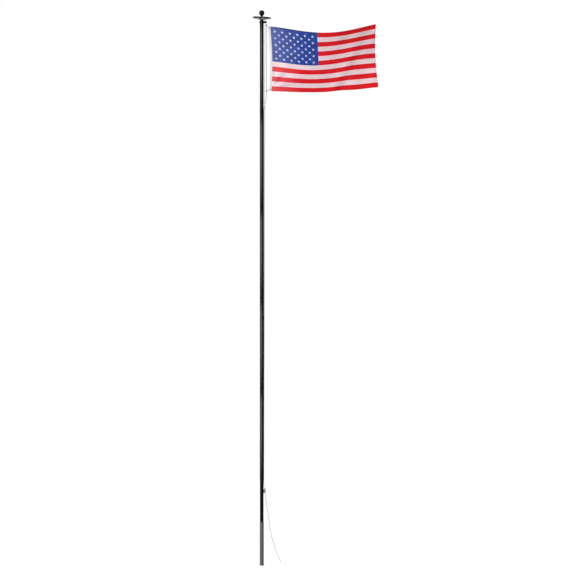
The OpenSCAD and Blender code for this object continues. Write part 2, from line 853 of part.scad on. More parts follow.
ground_sleeve();
base_section();
pole_section(1);  // pole_section_1
pole_section(2);  // pole_section_2
pole_section(3);  // pole_section_3
pole_section(4);  // pole_section_4
pole_section(5);  // pole_section_5
truck_cap();
pulley_sheave();
pulley_pin();
light_housing();
light_lens();
solar_panels();
finial_collar();
finial_spindle();
finial_ball();
halyard_over_pulley();
halyard_hoist_leg();
halyard_fall_leg();
halyard_belay();
halyard_tail();
cleat();
cleat_screws();
upper_snap_hook();
lower_snap_hook();
upper_grommet();
lower_grommet();
flag_header();
flag_cloth();
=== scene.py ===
# Garden flagpole: black slip-jointed tubes in a grey ground sleeve, a pulley truck, a disc light and a
# ball, a rope halyard belayed on a cleat, and a striped flag on two snap hooks. Lengths are in metres.
import math

import bpy
import numpy as np
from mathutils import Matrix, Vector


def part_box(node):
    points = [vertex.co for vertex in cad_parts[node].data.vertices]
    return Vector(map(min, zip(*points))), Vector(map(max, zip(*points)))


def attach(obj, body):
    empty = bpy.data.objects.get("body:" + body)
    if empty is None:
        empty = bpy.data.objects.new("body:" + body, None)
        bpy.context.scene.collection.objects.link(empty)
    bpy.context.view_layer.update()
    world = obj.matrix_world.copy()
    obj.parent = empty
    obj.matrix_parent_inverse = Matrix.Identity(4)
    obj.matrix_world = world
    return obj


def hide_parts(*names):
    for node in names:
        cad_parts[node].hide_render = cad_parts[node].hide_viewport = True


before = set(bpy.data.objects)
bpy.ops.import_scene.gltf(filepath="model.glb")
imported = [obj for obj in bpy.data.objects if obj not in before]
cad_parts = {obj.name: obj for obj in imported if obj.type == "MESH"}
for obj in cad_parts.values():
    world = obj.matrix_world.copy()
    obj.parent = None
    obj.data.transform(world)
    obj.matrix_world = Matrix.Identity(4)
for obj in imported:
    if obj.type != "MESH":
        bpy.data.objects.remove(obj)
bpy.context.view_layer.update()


# The view. The picture was taken level and from far off, so the pole's sides run almost parallel.
# One of its 576 pixels covers 14 mm at the pole.
VIEW_PIXELS = 576
PIXEL = 0.014
VIEW_DISTANCE = 60.0
POLE_COLUMN = 261.75
FOOT_ROW = 565.5
photo_lens = bpy.data.cameras.new("photo_view")
photo_lens.sensor_width = 36.0
photo_lens.lens = photo_lens.sensor_width * VIEW_DISTANCE / (VIEW_PIXELS * PIXEL)
photo_lens.clip_end = 400.0
photo_view = bpy.data.objects.new("photo_view", photo_lens)
photo_view.location = (
    (VIEW_PIXELS / 2 - POLE_COLUMN) * PIXEL,
    -VIEW_DISTANCE,
    (FOOT_ROW - VIEW_PIXELS / 2) * PIXEL,
)
photo_view.rotation_euler = (math.radians(90), 0, 0)
bpy.context.scene.collection.objects.link(photo_view)
bpy.context.scene.camera = photo_view


# Ground sleeve. A length of grey PVC pipe with a closed foot, set in the ground so that the pole lifts out.
# Pipe is extruded, so fine lines run along it, and handling has scuffed it unevenly.
def display(red, green, blue):
    """A colour as a screen shows it, 0 to 255, as the linear colour that a shader takes."""
    share = np.array([red, green, blue]) / 255
    linear = np.where(share <= 0.04045, share / 12.92, ((share + 0.055) / 1.055) ** 2.4)
    return (*linear.tolist(), 1.0)


class Shade:
    """One socket of a material's nodes. Arithmetic on it adds Math nodes."""

    def __init__(self, tree, socket=None):
        self.tree = tree
        self.socket = socket

    def node(self, kind, settings=None, sockets=None, output=0):
        """Adds a node of a kind, with its settings first and then its sockets' values or links."""
        made = self.tree.nodes.new("ShaderNode" + kind)
        for name, value in (settings or {}).items():
            if name == "stops":
                while len(made.color_ramp.elements) < len(value):
                    made.color_ramp.elements.new(1.0)
                for element, (place, colour) in zip(made.color_ramp.elements, value):
                    element.position = place
                    element.color = colour
            else:
                setattr(made, name, value)
        for name, value in (sockets or {}).items():
            if isinstance(value, Shade):
                self.tree.links.new(value.socket, made.inputs[name])
            else:
                made.inputs[name].default_value = value
        return Shade(self.tree, made.outputs[output] if made.outputs else None)

    def maths(self, operation, *values):
        return self.node("Math", {"operation": operation}, dict(enumerate(values)))

    def __add__(self, other):
        return self.maths("ADD", self, other)

    def __radd__(self, other):
        return self.maths("ADD", other, self)

    def __sub__(self, other):
        return self.maths("SUBTRACT", self, other)

    def __rsub__(self, other):
        return self.maths("SUBTRACT", other, self)

    def __mul__(self, other):
        return self.maths("MULTIPLY", self, other)

    def __rmul__(self, other):
        return self.maths("MULTIPLY", other, self)

    def __truediv__(self, other):
        return self.maths("DIVIDE", self, other)

    def place(self, stretch=(1, 1, 1)):
        """Where a point lies on the object, in metres times a stretch along each axis."""
        spot = self.node("TexCoord", output=3)
        return self.node("VectorMath", {"operation": "MULTIPLY"}, {0: spot, 1: stretch})

    def axis(self, index):
        return self.node("SeparateXYZ", sockets={0: self.place()}, output=index)

    def noise(self, stretch, scale, detail=3.0):
        sockets = {"Vector": self.place(stretch), "Scale": scale, "Detail": detail}
        return self.node("TexNoise", sockets=sockets)

    def mix(self, share, first, second):
        return self.node("Mix", {"data_type": "RGBA"}, {0: share, 6: first, 7: second}, 2)

    def bump(self, height, depth, strength=1.0):
        sockets = {"Height": height, "Distance": depth, "Strength": strength}
        return self.node("Bump", sockets=sockets)


def finish(name, recipe):
    """A material whose Principled sockets are what the recipe gives."""
    material = bpy.data.materials.new(name)
    material.use_nodes = True
    material.node_tree.nodes.clear()
    shade = Shade(material.node_tree)
    surface = shade.node("BsdfPrincipled", sockets=recipe(shade))
    shade.node("OutputMaterial", sockets={"Surface": surface})
    return material


def dress(material, *names):
    """Gives CAD nodes a material."""
    for name in names:
        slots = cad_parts[name].data.materials
        slots.clear()
        slots.append(material)


def grey_pvc(shade):
    lines = shade.noise((1, 1, 0.01), 420.0, 2.0)
    scuffs = shade.noise((1, 1, 0.25), 26.0, 6.0)
    worn = shade.mix(scuffs, display(86, 83, 82), display(110, 106, 105))
    return {
        "Base Color": shade.mix(0.25 * lines, worn, display(74, 71, 70)),
        "Roughness": 0.6 + 0.25 * scuffs,
        "Specular IOR Level": 0.05,
        "Normal": shade.bump(lines, 0.0004, 0.5),
    }


dress(finish("grey_pvc", grey_pvc), "ground_sleeve")


# Pole. Six aluminium tubes, powder coated black; each of the upper five slips over the narrower top of the
# one below. On those five a painted sheen, a clear coat weighted up over each tube's middle and fading to
# its ends, stands in for light; their lower lips are painted lighter, partly wear and partly a painted
# highlight on the joint. The base tube is matt.
TUBES = ["pole_section_%d" % number for number in range(1, 6)]
JOINTS = [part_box(name)[0].z for name in TUBES] + [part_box(TUBES[-1])[1].z]
LIP = 0.009


def satin_black(foot, head):
    """The coat of the tube that shows between two joints."""
    def recipe(shade):
        grain = shade.noise((1, 1, 1), 900.0, 2.0)
        drift = shade.noise((1, 1, 0.3), 9.0, 4.0)
        along = (shade.axis(2) - foot) / (head - foot)
        # Painted highlight and wear: a band at the tube's lower lip is painted a lighter grey.
        lip_wear_and_highlight = shade.maths("LESS_THAN", along, LIP / (head - foot))
        # Painted sheen: the clear coat is weighted up over the middle of each tube and fades at both ends.
        coat_sheen_share = shade.maths("SMOOTH_MIN", 2.1 * along, 8.0 - 8.0 * along, 0.3)
        coat_sheen_share = shade.maths("MINIMUM", shade.maths("MAXIMUM", coat_sheen_share, 0.0), 1.0)
        coat = shade.mix(drift, display(8, 6, 11), display(16, 13, 20))
        return {
            "Base Color": shade.mix(lip_wear_and_highlight, coat, display(50, 49, 51)),
            "Roughness": 0.7 + 0.1 * drift,
            "Specular IOR Level": 0.015,
            "Coat Weight": 0.21 * coat_sheen_share,
            "Coat Roughness": 0.28,
            "Normal": shade.bump(grain, 0.0002, 0.25),
        }
    return recipe


def matt_black(shade):
    grain = shade.noise((1, 1, 1), 900.0, 2.0)
    drift = shade.noise((1, 1, 0.3), 12.0, 4.0)
    return {
        "Base Color": shade.mix(drift, display(4, 4, 5), display(9, 9, 10)),
        "Roughness": 0.7 + 0.2 * drift,
        "Specular IOR Level": 0.03,
        "Normal": shade.bump(grain, 0.0002, 0.25),
    }


for tube, foot, head in zip(TUBES, JOINTS[:-1], JOINTS[1:]):
    dress(finish("satin_black_" + tube, satin_black(foot, head)), tube)
dress(finish("matt_black_coat", matt_black), "base_section")


# Truck. A black glass-filled nylon moulding pressed over the top tube; its forked arm holds a grooved nylon
# pulley on a headed pin of dull zinc-plated steel. The collar, light shell and cleat are moulded alike, and
# the ball's spindle and the cleat's screws are plated like the pin.
def black_moulding(shade):
    grain = shade.noise((1, 1, 1), 1400.0, 2.0)
    bloom = shade.noise((1, 1, 1), 22.0, 5.0)
    return {
        "Base Color": shade.mix(bloom, display(6, 6, 7), display(15, 15, 16)),
        "Roughness": 0.45 + 0.25 * bloom,
        "Specular IOR Level": 0.08,
        "Normal": shade.bump(grain, 0.0003, 0.4),
    }


def pulley_nylon(shade):
    turning = shade.noise((1, 0.05, 1), 700.0, 2.0)
    return {
        "Base Color": shade.mix(turning, display(22, 22, 23), display(40, 39, 38)),
        "Roughness": 0.35 + 0.25 * turning,
        "Specular IOR Level": 0.3,
        "Normal": shade.bump(turning, 0.0002, 0.3),
    }


def dull_zinc(shade):
    brushed = shade.noise((1, 1, 0.08), 900.0, 3.0)
    return {
        "Base Color": shade.mix(brushed, display(74, 74, 76), display(112, 112, 114)),
        "Metallic": 0.2,
        "Roughness": 0.4 + 0.2 * brushed,
        "Specular IOR Level": 0.1,
        "Normal": shade.bump(brushed, 0.0001, 0.3),
    }


moulding = finish("black_moulding", black_moulding)
steel = finish("dull_zinc", dull_zinc)
dress(moulding, "truck_cap", "finial_collar", "light_housing", "cleat")
dress(finish("pulley_nylon", pulley_nylon), "pulley_sheave")
dress(steel, "pulley_pin", "finial_spindle", "cleat_screws")


# Disc light. A shallow dished shell sits loose on the truck's hub and leans towards the flag; a pale ribbed
# diffuser ring closes its underside over the lamps, and blue-black solar cells lie round its top.
LENS_RIBS = 60
CELL_PITCH = 0.0195
CELL_LINE = 0.0006


def ribbed_diffuser(shade):
    turn = shade.maths("ARCTAN2", shade.axis(1), shade.axis(0))
    ribs = shade.maths("SINE", LENS_RIBS * turn)
    cloud = shade.noise((1, 1, 1), 30.0, 4.0)
    return {
        "Base Color": shade.mix(cloud, display(160, 160, 164), display(200, 200, 202)),
        "Roughness": 0.4 + 0.15 * cloud,
        "Specular IOR Level": 0.08,
        "Normal": shade.bump(ribs, 0.0006, 0.6),
    }


def solar_cells(shade):
    across = shade.maths("FRACT", shade.axis(0) / CELL_PITCH)
    along = shade.maths("FRACT", shade.axis(1) / CELL_PITCH)
    wires = shade.maths("MAXIMUM", shade.maths("LESS_THAN", across, CELL_LINE / CELL_PITCH),
                        shade.maths("LESS_THAN", along, 2 * CELL_LINE / CELL_PITCH))
    crystals = shade.node("TexVoronoi", sockets={"Vector": shade.place(), "Scale": 160.0}, output=1)
    cell = shade.mix(0.12, display(16, 20, 44), crystals)
    cell = shade.mix(0.75, cell, display(14, 18, 42))
    return {
        "Base Color": shade.mix(wires, cell, display(170, 172, 176)),
        "Roughness": 0.3 - 0.1 * wires,
        "Coat Weight": 0.6 - 0.3 * wires,
        "Coat Roughness": 0.08,
    }


dress(finish("ribbed_diffuser", ribbed_diffuser), "light_lens")
dress(finish("solar_cells", solar_cells), "solar_panels")


# Ball. A blow-moulded black ball screwed down on the spindle, smoother than the other mouldings, with a
# light haze from handling.
def gloss_black(shade):
    haze = shade.noise((1, 1, 1), 34.0, 5.0)
    return {
        "Base Color": shade.mix(haze, display(3, 3, 3), display(8, 8, 8)),
        "Roughness": 0.3 + 0.12 * haze,
        "Specular IOR Level": 0.05,
        "Normal": shade.bump(haze, 0.0003, 0.15),
    }


dress(finish("gloss_black_ball", gloss_black), "finial_ball")


# Halyard. Polypropylene rope, coloured mid grey and laid in three strands. It runs from the cleat up the
# pole, through the hooks' eyes and over the pulley, and back down to the cleat.
ROPE_D = 0.005
ROPE_LAY = 0.020
STRAND_SHARES = np.array([1.12, 1.07, 0.96, 1.07] * 3)
ROPE_STEP = 0.0025
TIP_RISE = 0.0006
ROPE_PAIR_Y = 0.0028


def rope_line(points, step):
    """Points spaced evenly along a line through the given ones."""
    points = np.array(points, float)
    runs = np.linalg.norm(np.diff(points, axis=0), axis=1)
    reached = np.concatenate([[0], np.cumsum(runs)])
    places = np.linspace(0, reached[-1], max(2, round(reached[-1] / step)) + 1)
    return np.stack([np.interp(places, reached, points[:, k]) for k in range(3)], axis=1)


def put(name, points, faces, *materials, smooth=True):
    """A new mesh piece of the pole's body."""
    mesh = bpy.data.meshes.new(name)
    mesh.from_pydata([tuple(p) for p in points], [], [tuple(f) for f in faces])
    for material in materials:
        mesh.materials.append(material)
    mesh.polygons.foreach_set("use_smooth", [smooth] * len(mesh.polygons))
    mesh.validate()
    mesh.update()
    piece = bpy.data.objects.new(name, mesh)
    bpy.context.scene.collection.objects.link(piece)
    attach(piece, "pole")
    return piece


def laid_rope(name, line, closed, *materials):
    """Three strands laid along a line: a lobed ring that turns as it goes."""
    sides = len(STRAND_SHARES)
    count = len(line)
    if closed:
        ahead = np.roll(line, -1, axis=0) - np.roll(line, 1, axis=0)
    else:
        ahead = np.gradient(line, axis=0)
    ahead /= np.linalg.norm(ahead, axis=1, keepdims=True)
    across = np.zeros_like(line)
    first = np.cross(ahead[0], (0.0, 1.0, 0.0))
    across[0] = first / np.linalg.norm(first)
    for i in range(1, count):
        carried = across[i - 1] - ahead[i] * (across[i - 1] @ ahead[i])
        across[i] = carried / np.linalg.norm(carried)
    beside = np.cross(ahead, across)
    steps = np.linalg.norm(np.diff(line, axis=0), axis=1)
    reached = np.concatenate([[0], np.cumsum(steps)])
    whole = reached[-1] + (np.linalg.norm(line[0] - line[-1]) if closed else 0)
    lay = whole / max(1, round(whole / ROPE_LAY))
    turn = 2 * np.pi * (reached[:, None] / lay + np.arange(sides)[None, :] / sides)
    radius = ROPE_D / 2 * STRAND_SHARES[None, :, None]
    rings = line[:, None, :] + radius * (
        np.cos(turn)[..., None] * across[:, None, :] + np.sin(turn)[..., None] * beside[:, None, :])
    points = rings.reshape(-1, 3)
    last = count if closed else count - 1
    i, k = np.meshgrid(np.arange(last), np.arange(sides), indexing="ij")
    here, there = i * sides, (i + 1) % count * sides
    side = (k + 1) % sides
    faces = np.stack([here + k, here + side, there + side, there + k], axis=-1).reshape(-1, 4).tolist()
    if not closed:
        points = np.concatenate([points, [line[0] - ahead[0] * TIP_RISE, line[-1] + ahead[-1] * TIP_RISE]])
        start, end = count * sides, count * sides + 1
        faces += [(start, (k + 1) % sides, k) for k in range(sides)]
        foot = (count - 1) * sides
        faces += [(end, foot + k, foot + (k + 1) % sides) for k in range(sides)]
    return put(name, points, faces, *materials)


def grey_rope(shade):
    fibres = shade.noise((1, 1, 0.35), 2600.0, 2.0)
    grime = shade.noise((1, 1, 0.2), 18.0, 4.0)
    clean = shade.mix(fibres, display(92, 92, 91), display(116, 116, 114))
    return {
        "Base Color": shade.mix(0.45 * grime, clean, display(80, 79, 77)),
        "Roughness": 0.6 + 0.2 * fibres,
        "Specular IOR Level": 0.05,
        "Normal": shade.bump(fibres, 0.0002, 0.4),
    }


rope = finish("grey_rope", grey_rope)
SHEAVE_X, SHEAVE_Z, SHEAVE_R = 0.055, 7.608, 0.010
SHEAVE_STEPS = 25
# Above the cleat both legs lead in to the pole; below the flag the hoist leg slants out to the hooks.
HUG_X = 0.02967
LEAD_Z, HUG_Z = 1.0918, 1.1658
SLANT_FOOT, SLANT_TOP = 6.3775, 6.5675
FALL_START = 0.016
PASS_X, PASS_Y = 0.0426, 0.0056
leg_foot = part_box("halyard_hoist_leg")[0].z
belay_low, belay_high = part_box("halyard_belay")
belay_x = (belay_low.x + belay_high.x) / 2
over_pulley = [
    (SHEAVE_X + SHEAVE_R * math.cos(a), 0, SHEAVE_Z + SHEAVE_R * math.sin(a))
    for a in np.linspace(0, math.pi, SHEAVE_STEPS)
]
hoist_leg = [
    (belay_x, -ROPE_PAIR_Y, leg_foot), (belay_x, -ROPE_PAIR_Y, LEAD_Z), (HUG_X, -ROPE_PAIR_Y, HUG_Z),
    (HUG_X, -ROPE_PAIR_Y, SLANT_FOOT), (SHEAVE_X + SHEAVE_R, 0, SLANT_TOP),
]
fall_leg = [
    (SHEAVE_X - SHEAVE_R, 0, SHEAVE_Z - FALL_START), (PASS_X, PASS_Y, SLANT_TOP),
    (HUG_X, ROPE_PAIR_Y, HUG_Z), (belay_x, ROPE_PAIR_Y, LEAD_Z), (belay_x, ROPE_PAIR_Y, leg_foot),
]
halyard_points = hoist_leg + over_pulley + fall_leg
halyard = laid_rope("halyard_line", rope_line(halyard_points, ROPE_STEP), False, rope)
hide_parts("halyard_hoist_leg", "halyard_fall_leg", "halyard_over_pulley")


# Turn on the cleat. The same rope goes round the cleat's stem in one long loop, which lies flat under the
# horns and holds by friction.
TURN_STEPS = 48
TURN_STEP = 0.0015
turn_r = (belay_high.y - belay_low.y) / 2 - ROPE_D / 2
turn_mid = (belay_low.z + belay_high.z) / 2
turn_half = (belay_high.z - belay_low.z) / 2 - ROPE_D / 2 - turn_r
belay_points = [
    (belay_x, turn_r * math.cos(a),
     turn_mid + math.copysign(turn_half, math.sin(a)) + turn_r * math.sin(a))
    for a in (np.arange(TURN_STEPS) + 0.5) * 2 * math.pi / TURN_STEPS
]
belay_points.append(belay_points[0])
belay = laid_rope("belay_turn", rope_line(belay_points, TURN_STEP)[:-1], True, rope)
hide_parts("halyard_belay")


# Loose end. The rope's end goes up over the cleat's upper horn and hangs, blown out by the wind, and its
# cut tip is melted shut. Its points, in millimetres, are the CAD route's from the lower horn down; over the
# upper horn it turns more widely than that route does.
TAIL_ROUTE = np.array([
    [34, -13, 1038], [33.5, -13.5, 1052], [34, -13.5, 1066], [35.5, -12.3, 1073.5],
    [39, -9, 1078.5], [44, -4.5, 1080.3], [48.7, 0, 1078.5], [52.3, 3.3, 1073.5],
    [53.5, 4.5, 1066], [53.4, 4, 1054], [52, 2.5, 1039], [50, 1, 1024], [49, 0, 1008],
    [50, -1, 990], [54, -2, 950], [59, -3, 900], [67, -3, 850], [76, -2, 795], [84, 0, 740],
    [93, 2, 690], [101, 4, 637], [110, 5, 580], [119, 5, 520], [127, 4, 460], [138, 2, 410],
    [150, 0, 363], [163, -2, 320], [177, -4, 277], [195, -5, 227], [214, -5, 178],
    [225, -4, 149], [237, -3, 119], [252, -1, 82], [266, 1, 48],
]) / 1000


def smooth_line(points, parts):
    """A smooth curve through points, with each span cut into parts."""
    ends = np.concatenate([[2 * points[0] - points[1]], points, [2 * points[-1] - points[-2]]])
    spans = (ends[:-3], ends[1:-2], ends[2:-1], ends[3:])
    before, start, end, after = (span[:, None, :] for span in spans)
    t = np.linspace(0, 1, parts, endpoint=False)[None, :, None]
    square = 2 * before - 5 * start + 4 * end - after
    cube = 3 * start - before - 3 * end + after
    line = 0.5 * (2 * start + (end - before) * t + square * t ** 2 + cube * t ** 3)
    return np.concatenate([line.reshape(-1, 3), points[-1:]])


TAIL_PARTS = 12
TAIL_STEP = 0.002
tail_line = rope_line(smooth_line(TAIL_ROUTE, TAIL_PARTS), TAIL_STEP)
tail = laid_rope("halyard_free_end", tail_line, False, rope)
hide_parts("halyard_tail")


# Snap hooks and eyelets. Swivel snaps, with a black eye upright on the rope, a plated barrel, and a duller
# loop through the flag; the eyelets are spun brass gone dark, rolled over on both faces of the header.
EYE_END = 0.0712
BARREL_ENDS = {"upper_snap_hook": 0.0812, "lower_snap_hook": 0.0876}


def snap_hook_metal(barrel_end):
    """Black as far along the fly as the eye goes, then plated, and dull from where the barrel ends."""
    def recipe(shade):
        along = shade.axis(0)
        plated = shade.maths("GREATER_THAN", along, EYE_END)
        tarnish = shade.noise((1, 1, 1), 260.0, 4.0)
        black = shade.mix(tarnish, display(14, 14, 15), display(30, 29, 29))
        bright = shade.mix(tarnish, display(128, 128, 129), display(158, 158, 160))
        dull = shade.mix(tarnish, display(64, 64, 65), display(98, 98, 99))
        metal = shade.mix(shade.maths("GREATER_THAN", along, barrel_end), bright, dull)
        return {
            "Base Color": shade.mix(plated, black, metal),
            "Metallic": 0.15 * plated,
            "Roughness": 0.4 + 0.25 * tarnish,
            "Specular IOR Level": 0.06,
            "Normal": shade.bump(tarnish, 0.0001, 0.3),
        }
    return recipe


def eyelet_brass(shade):
    spun = shade.noise((1, 1, 1), 500.0, 4.0)
    return {
        "Base Color": shade.mix(spun, display(112, 99, 68), display(146, 131, 96)),
        "Metallic": 0.1,
        "Roughness": 0.4 + 0.2 * spun,
        "Specular IOR Level": 0.1,
        "Normal": shade.bump(spun, 0.0001, 0.3),
    }


for hook, barrel_end in BARREL_ENDS.items():
    dress(finish(hook + "_metal", snap_hook_metal(barrel_end)), hook)
dress(finish("eyelet_brass", eyelet_brass), "upper_grommet", "lower_grommet")


# Flag. Thirteen sewn stripes and a starred corner of polyester, hemmed on its three free sides. It hangs by
# its header from two hooks and blows out in one long wave, with creases that pull from both eyelets.
HOIST_X, FLAG_TOP, FLAG_HOIST, FLAG_REACH = 0.08894, 7.549, 0.909, 1.509
HEADER_WIDTH = 0.030
HEADER_SHARE = HEADER_WIDTH / FLAG_REACH
CORNER_SHARE = 0.453
STRIPES = 13
CORNER_STRIPES = 7
CLOTH_HALF = 0.0004
HEM_HALF = 0.0008
HEM_WIDTH = 0.011
HOIST_SLANT, HOIST_BOW = 0.016, 0.016
FLY_FLARE, FLY_BOW = 0.035, 0.016
TOP_RISE, TOP_SAG = 0.032, 0.117
BOTTOM_RISE, BOTTOM_SAG = 0.058, 0.040
SAG_POWER, SAG_SKEW = 1.15, 1.1
STRIPE_SWING, SWING_SKEW = 0.016, 1.15
DRAWN_OUT = 0.013
WAVE_DEPTH, FLY_RETURN, FLAG_LEAN = 0.095, 0.03, 0.220
FILL_START, FILL_POWER = 0.03, 0.65
CREST_FOOT, CREST_SLANT = 0.53, 0.36
KNEE_RISE, KNEE_START, KNEE_WIDTH = 0.010, 0.13, 0.09


def flag_middle(u, v):
    """The cloth's middle over shares of the fly, u, and of the hoist from the top, v."""
    share = np.clip(u, 0, 1)
    bow = np.sin(np.pi * v)
    hoist = HOIST_X + HOIST_SLANT * v + HOIST_BOW * bow
    fly = HOIST_X + FLAG_REACH + FLY_FLARE * v * v - FLY_BOW * bow
    drawn = DRAWN_OUT * np.sin(np.pi * np.sqrt(share)) * bow
    top_dip = np.sin(np.pi * share ** SAG_SKEW).clip(0) ** SAG_POWER
    bottom_dip = np.sin(np.pi * share).clip(0) ** SAG_POWER
    top = FLAG_TOP + TOP_RISE * u - TOP_SAG * top_dip
    bottom = FLAG_TOP - FLAG_HOIST + BOTTOM_RISE * u - BOTTOM_SAG * bottom_dip
    swing = STRIPE_SWING * np.sin(2 * np.pi * share ** SWING_SKEW) * bow
    crest = CREST_FOOT + CREST_SLANT * (1 - v)
    knee = KNEE_RISE * v * np.exp(-((u - crest - KNEE_START) / KNEE_WIDTH) ** 2)
    height = top * (1 - v) + bottom * v - swing + knee
    t = np.clip((u - HEADER_SHARE) / (1 - HEADER_SHARE), 0, None)
    empty, full = FILL_START ** FILL_POWER, (1 + FILL_START) ** FILL_POWER
    filled = ((t + FILL_START) ** FILL_POWER - empty) / (full - empty)
    wave = FLY_RETURN * t - WAVE_DEPTH * np.sin(np.pi * filled)
    lean = FLAG_LEAN * np.sin(np.pi * t) * (v - 0.5)
    depth = wave + lean + creases(u, v, t, crest)
    return np.stack([hoist + (fly - hoist) * u + drawn, depth, height], axis=-1)


FOLD_DEPTH, FOLD_START, FOLD_WIDTH = 0.012, 0.05, 0.055
FAN_DEPTH, FAN_DROP, FAN_START, FAN_FADE = 0.016, 0.02, 0.2, 0.34
FAN_SPREADS = {1: 15.0, -1: 11.0}
FAN_PHASE = 0.6
FLUTTER, FLUTTER_ALONG, FLUTTER_DOWN = 0.005, 5.5, 1.7
ROLL, ROLL_ALONG, ROLL_DOWN, ROLL_PHASE = 0.004, 3.1, 2.3, 0.8
CREASE_START = 0.02


def creases(u, v, t, crest):
    """Small folds: fans pulling from the two eyelets, a slanting fold, and a flutter growing to the fly."""
    along, down = u * FLAG_REACH, v * FLAG_HOIST
    folds = -FOLD_DEPTH * np.exp(-((u - crest - FOLD_START) / FOLD_WIDTH) ** 2) * np.clip(2 * v, 0, 1)
    for way, spread in FAN_SPREADS.items():
        drop = FAN_DROP if way > 0 else FLAG_HOIST - FAN_DROP
        reach = np.hypot(along, down - drop) + 1e-6
        angle = np.arctan2(way * (down - drop), along)
        swell = np.clip(reach / FAN_START, 0, 1) ** 2 * np.exp(-reach / FAN_FADE)
        folds += FAN_DEPTH * swell * np.sin(spread * angle + FAN_PHASE * way)
    gusts = 0.6 + 0.4 * np.sin(7 * v + 1)
    flutter = FLUTTER * t ** 2 * np.sin(2 * np.pi * (FLUTTER_ALONG * t + FLUTTER_DOWN * v)) * gusts
    roll = ROLL * t * np.sin(2 * np.pi * (ROLL_ALONG * t - ROLL_DOWN * v) + ROLL_PHASE)
    return np.clip(t / CREASE_START, 0, 1) * (folds + flutter + roll)


def flag_side(u, v, lift):
    """Points off the cloth's middle, along its face towards the viewer for a positive lift."""
    step = 1e-4
    ahead = flag_middle(u + step, v) - flag_middle(u - step, v)
    down = flag_middle(u, v + step) - flag_middle(u, v - step)
    face = np.cross(down, ahead)
    face /= np.linalg.norm(face, axis=-1, keepdims=True)
    face *= np.where(face[..., 1:2] > 0, -1.0, 1.0)
    return flag_middle(u, v) + face * lift[..., None]


def cloth_slab(name, u_lines, v_lines, half, pick, *materials):
    """A closed thin slab of the flag between lines of u and v.

    half gives half its thickness, and pick each cell's material, or -1 for a hole.
    """
    u, v = np.meshgrid(u_lines, v_lines, indexing="ij")
    lift = half(u, v)
    points = np.concatenate([flag_side(u, v, way * lift).reshape(-1, 3) for way in (1, -1)])
    columns, rows = u.shape
    back = columns * rows
    i, j = np.meshgrid(np.arange(columns - 1), np.arange(rows - 1), indexing="ij")
    corner = (i * rows + j).ravel()
    cells = pick((u[:-1, :-1] + u[1:, 1:]).ravel() / 2, (v[:-1, :-1] + v[1:, 1:]).ravel() / 2)
    corner, cells = corner[cells >= 0], cells[cells >= 0]
    front = np.stack([corner, corner + 1, corner + rows + 1, corner + rows], axis=-1)
    start, end = front.ravel(), np.roll(front, -1, axis=1).ravel()
    rim = ~np.isin(start * back + end, end * back + start)
    start, end = start[rim], end[rim]
    edge = np.stack([end, start, start + back, end + back], axis=-1)
    faces = np.concatenate([front, front[:, ::-1] + back, edge])
    piece = put(name, points, faces.tolist(), *materials)
    cells = np.concatenate([cells, cells, np.repeat(cells, 4)[rim]])
    piece.data.polygons.foreach_set("material_index", cells.astype(np.int32))
    flat = np.stack([u * FLAG_REACH, (1 - v) * FLAG_HOIST], axis=-1).reshape(-1, 2)
    flat = np.concatenate([flat, flat])
    spread = piece.data.uv_layers.new(name="flat")
    corners = np.zeros(len(piece.data.loops), np.int32)
    piece.data.loops.foreach_get("vertex_index", corners)
    spread.data.foreach_set("uv", flat[corners].astype(np.float32).ravel())
    return piece


def stripe_of(v):
    return np.clip(np.floor(v * STRIPES), 0, STRIPES - 1)


def panel_of(u, v):
    """0 red, 1 white, 2 blue; 3 to 5 the same painted darker as shade on the hems, at the fly and over the
    corner.
    """
    in_corner = (u < CORNER_SHARE) & (v < CORNER_STRIPES / STRIPES)
    hem_shade = np.where(in_corner, v < hem_v, u > 1 - hem_u)
    return np.where(in_corner, 2, np.where(stripe_of(v) % 2 == 0, 0, 1)) + 3 * hem_shade


SEAM_HALF = HEM_HALF * 0.8
SEAM_LAP = 0.0042
SAME = 1e-6


def cloth_half(u, v):
    """Half the cloth's thickness: it is doubled in the hems and lapped at the seams."""
    along, down = u * FLAG_REACH, v * FLAG_HOIST
    edge = np.minimum(np.minimum(down, FLAG_HOIST - down), FLAG_REACH - along)
    seam = np.abs(v * STRIPES - np.round(v * STRIPES)) / STRIPES * FLAG_HOIST
    in_corner = (u < CORNER_SHARE - SAME) & (v < CORNER_STRIPES / STRIPES - SAME)
    lap = np.where((seam < SEAM_LAP) & ~in_corner, SEAM_HALF, CLOTH_HALF)
    return np.where(edge < HEM_WIDTH, HEM_HALF, lap)


def weave(shade, pitch):
    """The crossing threads of a cloth laid flat, at a pitch, and how far along the fly they are."""
    spot = shade.node("UVMap", {"uv_map": "flat"})
    warp = shade.node("SeparateXYZ", sockets={0: spot}, output=0)
    weft = shade.node("SeparateXYZ", sockets={0: spot}, output=1)
    turn = 2 * math.pi / pitch
    return shade.maths("SINE", warp * turn) * shade.maths("SINE", weft * turn), warp


CLOTH_PITCH = 0.0011


def woven(name, dark, light, patch):
    """A polyester cloth: a fine plain weave, a little uneven, and painted paler towards the hoist as a
    painted sheen.
    """
    def recipe(shade):
        threads, along = weave(shade, CLOTH_PITCH)
        cloudy = shade.noise((1, 1, 1), patch, 5.0)
        # Painted sheen: the cloth is mixed towards a pale white over its first 0.45 m from the hoist.
        hoist_sheen = shade.maths("MAXIMUM", 0.09 - 0.2 * along, 0.0)
        return {
            "Base Color": shade.mix(hoist_sheen, shade.mix(cloudy, dark, light), display(240, 238, 244)),
            "Roughness": 0.5 + 0.1 * cloudy,
            "Specular IOR Level": 0.0,
            "Normal": shade.bump(threads, 0.0002, 0.25),
        }
    return finish(name, recipe)


